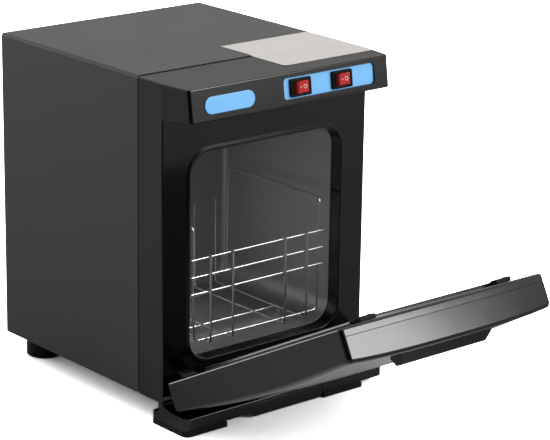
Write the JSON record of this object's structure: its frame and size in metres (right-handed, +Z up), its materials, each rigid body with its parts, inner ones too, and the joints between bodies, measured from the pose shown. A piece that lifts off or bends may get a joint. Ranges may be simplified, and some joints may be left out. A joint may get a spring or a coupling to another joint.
{
  "type": "hot towel cabinet",
  "caption": "Table-top hot towel cabinet with a drop-down front door, rocker switches on a front header, a wire basket in an aluminium chamber and a drip tray.",
  "frame": {"origin": "middle of the bounding box on the surface that the feet stand on, with the door open", "axes": "+Z up, the open door points to -Y, +X to the right as seen from the front"},
  "size_m": [0.25, 0.5206, 0.3351],
  "materials": {
    "black_gloss_plastic": "glossy black moulded plastic",
    "black_painted_sheet": "satin black painted sheet steel",
    "black_rubber": "matte black rubber",
    "aluminium_sheet": "brushed aluminium sheet",
    "bright_steel": "bright plain steel",
    "chromed_wire": "chromed steel wire",
    "blue_panel": "light blue satin plastic",
    "red_rocker": "red translucent plastic",
    "pale_vinyl": "pale vinyl sheet",
    "mineral_wool": "pressed mineral wool",
    "lamp_glass": "clear lamp glass with metal caps",
    "pale_plastic": "off-white plastic",
    "mica_board": "mica heater board",
    "wound_iron": "stacked iron sheet with a winding",
    "dark_sensor": "dark phenolic",
    "red_insulation": "coloured wire insulation",
    "dark_magnet": "dark sintered magnet"
  },
  "bodies": {
    "cabinet": {"outer_case": "black_painted_sheet", "base_pan": "black_painted_sheet", "rear_panel": "black_painted_sheet", "cord_gland": "black_rubber", "front_frame": "black_gloss_plastic", "front_base": "black_gloss_plastic", "front_foot_left": "black_rubber", "front_foot_right": "black_rubber", "rear_foot_left": "black_rubber", "rear_foot_right": "black_rubber", "tray_rail_left": "bright_steel", "tray_rail_right": "bright_steel", "chamber_liner": "aluminium_sheet", "insulation_wrap": "mineral_wool", "insulation_back": "mineral_wool", "insulation_floor": "mineral_wool", "heater_plate": "mica_board", "heater_clamp": "bright_steel", "thermostat": "dark_sensor", "thermal_fuse": "bright_steel", "uv_tube": "lamp_glass", "uv_holder_left": "pale_plastic", "uv_holder_right": "pale_plastic", "uv_reflector": "aluminium_sheet", "uv_guard": "bright_steel", "ballast": "wound_iron", "starter": "pale_plastic", "terminal_block": "pale_plastic", "wiring": "red_insulation", "control_plate": "blue_panel", "pill_label": "blue_panel", "uv_switch_body": "black_gloss_plastic", "power_switch_body": "black_gloss_plastic", "top_sticker": "pale_vinyl", "catch_magnet_left": "dark_magnet", "catch_magnet_right": "dark_magnet", "hinge_bracket_left": "black_painted_sheet", "hinge_bracket_right": "black_painted_sheet", "hinge_pin_left": "bright_steel", "hinge_pin_right": "bright_steel"},
    "door": {"door_outer_shell": "black_gloss_plastic", "door_inner_panel": "black_gloss_plastic", "door_liner_plate": "black_painted_sheet", "door_gasket": "black_rubber", "door_insulation": "mineral_wool", "door_handle": "black_gloss_plastic", "catch_block_left": "black_gloss_plastic", "catch_block_right": "black_gloss_plastic", "catch_stud_left": "chromed_wire", "catch_stud_right": "chromed_wire"},
    "uv_switch_rocker": {"uv_rocker": "red_rocker"},
    "power_switch_rocker": {"power_rocker": "red_rocker"},
    "basket": {"basket_frame": "chromed_wire", "basket_floor": "chromed_wire"},
    "tray": {"drip_tray": "black_gloss_plastic"}
  },
  "joints": [
    {"name": "door_hinge", "type": "hinge", "parent": "cabinet", "child": "door", "pos_m": [0, -0.02154, 0.0378], "axis": [-1, 0, 0], "range_deg": [0, 63]},
    {"name": "uv_rocker_pivot", "type": "hinge", "parent": "cabinet", "child": "uv_switch_rocker", "pos_m": [0.0103, -0.03609, 0.31797], "axis": [0, -0.126, -0.992], "range_deg": [0, 24]},
    {"name": "power_rocker_pivot", "type": "hinge", "parent": "cabinet", "child": "power_switch_rocker", "pos_m": [0.0617, -0.03609, 0.31797], "axis": [0, -0.126, -0.992], "range_deg": [0, 24]},
    {"name": "basket_slide", "type": "slide", "parent": "cabinet", "child": "basket", "axis": [0, 1, 0], "range_m": [-0.04, 0]},
    {"name": "tray_slide", "type": "slide", "parent": "cabinet", "child": "tray", "axis": [0, 1, 0], "range_m": [-0.06, 0]}
  ]
}
